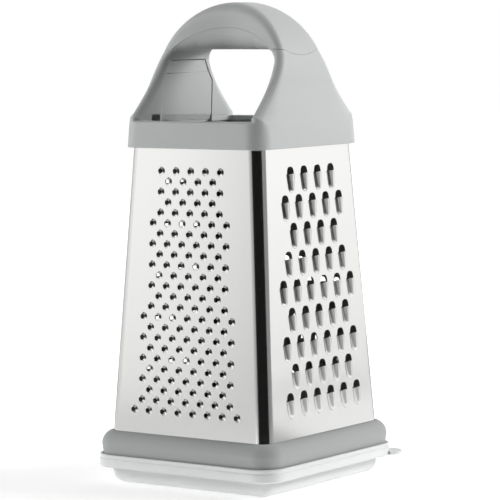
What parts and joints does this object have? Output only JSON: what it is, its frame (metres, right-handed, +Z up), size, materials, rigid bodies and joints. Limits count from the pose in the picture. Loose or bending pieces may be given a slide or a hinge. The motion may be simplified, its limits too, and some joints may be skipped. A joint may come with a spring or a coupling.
{
  "type": "box grater",
  "caption": "Tapered four-sided box grater with an arched carrying handle, standing in a shallow catch tray",
  "frame": {"origin": "centre of the tray's flat underside, on the table", "axes": "+Z up, +X out of the coarse face, -Y out of the fine face, +Y out of the medium face, -X out of the slicing face"},
  "size_m": [0.1158, 0.1196, 0.2426],
  "materials": {
    "tray_plastic": "translucent, satin",
    "frame_plastic": "moulded, matte",
    "ring_rubber": "soft, matte",
    "sheet_steel": "polished stainless",
    "handle_plastic": "moulded, satin"
  },
  "bodies": {
    "tray": {"tray": "tray_plastic"},
    "grater": {"base_frame": "frame_plastic", "base_ring": "ring_rubber", "front_sheet": "sheet_steel", "rear_sheet": "sheet_steel", "handle_frame": "handle_plastic", "grip_liner": "handle_plastic", "grip_cover": "handle_plastic"}
  },
  "joints": [
    {"name": "grater_lift", "type": "slide", "parent": "tray", "child": "grater", "axis": [0, 0, 1], "range_m": [0, 0.06]}
  ]
}
